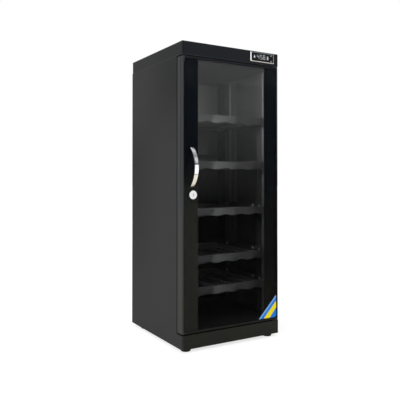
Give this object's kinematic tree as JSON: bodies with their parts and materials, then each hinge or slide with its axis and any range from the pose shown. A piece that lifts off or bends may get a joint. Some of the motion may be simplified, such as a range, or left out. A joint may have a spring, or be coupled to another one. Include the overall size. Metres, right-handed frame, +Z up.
{
  "type": "camera dry cabinet",
  "caption": "Tall black dry cabinet for cameras and lenses: hinged glass door with bow handle and lock, pull-out shelves, header with display, dryer unit at the back.",
  "frame": {"origin": "on the ground under the middle of the outline", "axes": "+Z up, the door faces -Y, +X to the right of someone facing the door"},
  "size_m": [0.395, 0.4338, 1.012],
  "materials": {
    "side_black": "fine textured black powder coat",
    "back_black": "fine textured black powder coat",
    "header_black": "satin black paint with a blue cast",
    "plinth_black": "satin black paint",
    "door_black": "satin black paint",
    "inner_grey": "satin dark grey paint",
    "post_grey": "satin dark grey paint",
    "tray_grey": "satin dark grey paint",
    "frame_grey": "satin dark grey paint",
    "front_grey": "moulded dark grey plastic",
    "screw_zinc": "zinc plated",
    "screw_black": "blackened steel",
    "stud_chrome": "polished",
    "foot_rubber": "matt black rubber",
    "dryer_black": "moulded black plastic",
    "desiccant": "bag of drying beads",
    "heater_aluminium": "extruded",
    "shutter_grey": "moulded",
    "grille_black": "satin black paint",
    "board_green": "circuit board",
    "inlet_black": "moulded",
    "sensor_white": "moulded",
    "bezel_chrome": "bright plated",
    "lens_black": "gloss black face plate",
    "button_silver": "silver buttons",
    "bracket_black": "black steel",
    "pin_steel": "turned steel",
    "door_glass": "toughened glass, lightly tinted",
    "border_black": "black border behind glass",
    "gasket_rubber": "soft magnetic seal",
    "handle_chrome": "polished chrome",
    "bush_white": "bearing plastic",
    "lock_chrome": "satin chrome",
    "cam_steel": "zinc plated"
  },
  "bodies": {
    "cabinet": {"left_side_panel": "side_black", "right_side_panel": "side_black", "back_panel": "back_black", "top_cap": "header_black", "inner_ceiling": "inner_grey", "floor_pan": "inner_grey", "base_pan": "plinth_black", "front_left_post": "post_grey", "front_right_post": "post_grey", "rear_left_post": "post_grey", "rear_right_post": "post_grey", "left_runners": "post_grey", "right_runners": "post_grey", "runner_screws": "screw_zinc", "runner_studs": "stud_chrome", "foot_pads": "foot_rubber", "foot_bolts": "screw_zinc", "dryer_housing": "dryer_black", "dryer_cover": "dryer_black", "desiccant_packs": "desiccant", "dryer_heater": "heater_aluminium", "exhaust_grille": "grille_black", "control_board": "board_green", "power_inlet": "inlet_black", "humidity_sensor": "sensor_white", "case_screws": "screw_black", "display_bezel": "bezel_chrome", "display_lens": "lens_black", "display_board": "board_green", "hinge_brackets": "bracket_black", "hinge_pins": "pin_steel", "strike_plate": "bracket_black"},
    "door": {"door_skin": "door_black", "door_inner_frame": "frame_grey", "door_glass": "door_glass", "glass_border": "border_black", "door_gasket": "gasket_rubber", "door_handle": "handle_chrome", "handle_screws": "screw_zinc", "hinge_bushes": "bush_white", "lock_housing": "lock_chrome", "lock_nut": "screw_zinc"},
    "lock": {"lock_cylinder": "lock_chrome", "lock_cam": "cam_steel", "cam_screw": "screw_zinc"},
    "set_key": {"set_button": "button_silver"},
    "up_key": {"up_button": "button_silver"},
    "down_key": {"down_button": "button_silver"},
    "outer_flap": {"outer_shutter": "shutter_grey"},
    "inner_flap": {"inner_shutter": "shutter_grey"},
    "shelf_1": {"shelf_tray_1": "tray_grey", "shelf_front_1": "front_grey"},
    "shelf_2": {"shelf_tray_2": "tray_grey", "shelf_front_2": "front_grey"},
    "shelf_3": {"shelf_tray_3": "tray_grey", "shelf_front_3": "front_grey"},
    "shelf_4": {"shelf_tray_4": "tray_grey", "shelf_front_4": "front_grey"},
    "shelf_5": {"shelf_tray_5": "tray_grey", "shelf_front_5": "front_grey"}
  },
  "joints": [
    {"name": "door_hinge", "type": "hinge", "parent": "cabinet", "child": "door", "pos_m": [0.1895, -0.1704, 0.512], "axis": [0, 0, 1], "range_deg": [0, 180]},
    {"name": "lock_turn", "type": "hinge", "parent": "door", "child": "lock", "pos_m": [-0.1567, -0.1624, 0.511], "axis": [0, 1, 0], "range_deg": [0, 90]},
    {"name": "set_press", "type": "slide", "parent": "cabinet", "child": "set_key", "axis": [0, 1, 0], "range_m": [0, 0.0008], "stiffness_N_per_m": 400},
    {"name": "up_press", "type": "slide", "parent": "cabinet", "child": "up_key", "axis": [0, 1, 0], "range_m": [0, 0.0008], "stiffness_N_per_m": 400},
    {"name": "down_press", "type": "slide", "parent": "cabinet", "child": "down_key", "axis": [0, 1, 0], "range_m": [0, 0.0008], "stiffness_N_per_m": 400},
    {"name": "shelf_1_slide", "type": "slide", "parent": "cabinet", "child": "shelf_1", "axis": [0, -1, 0], "range_m": [0, 0.012]},
    {"name": "shelf_2_slide", "type": "slide", "parent": "cabinet", "child": "shelf_2", "axis": [0, -1, 0], "range_m": [0, 0.012]},
    {"name": "shelf_3_slide", "type": "slide", "parent": "cabinet", "child": "shelf_3", "axis": [0, -1, 0], "range_m": [0, 0.012]},
    {"name": "shelf_4_slide", "type": "slide", "parent": "cabinet", "child": "shelf_4", "axis": [0, -1, 0], "range_m": [0, 0.012]},
    {"name": "shelf_5_slide", "type": "slide", "parent": "cabinet", "child": "shelf_5", "axis": [0, -1, 0], "range_m": [0, 0.012]},
    {"name": "outer_shutter_turn", "type": "hinge", "parent": "cabinet", "child": "outer_flap", "pos_m": [0, 0.20039, 0.68], "axis": [1, 0, 0], "range_deg": [0, 40]},
    {"name": "inner_shutter_turn", "type": "hinge", "parent": "cabinet", "child": "inner_flap", "pos_m": [0, 0.18391, 0.68], "axis": [1, 0, 0], "range_deg": [-40, 0]}
  ],
  "couplings": [
    {"joint": "inner_shutter_turn", "follows": "outer_shutter_turn", "ratio": -1}
  ]
}
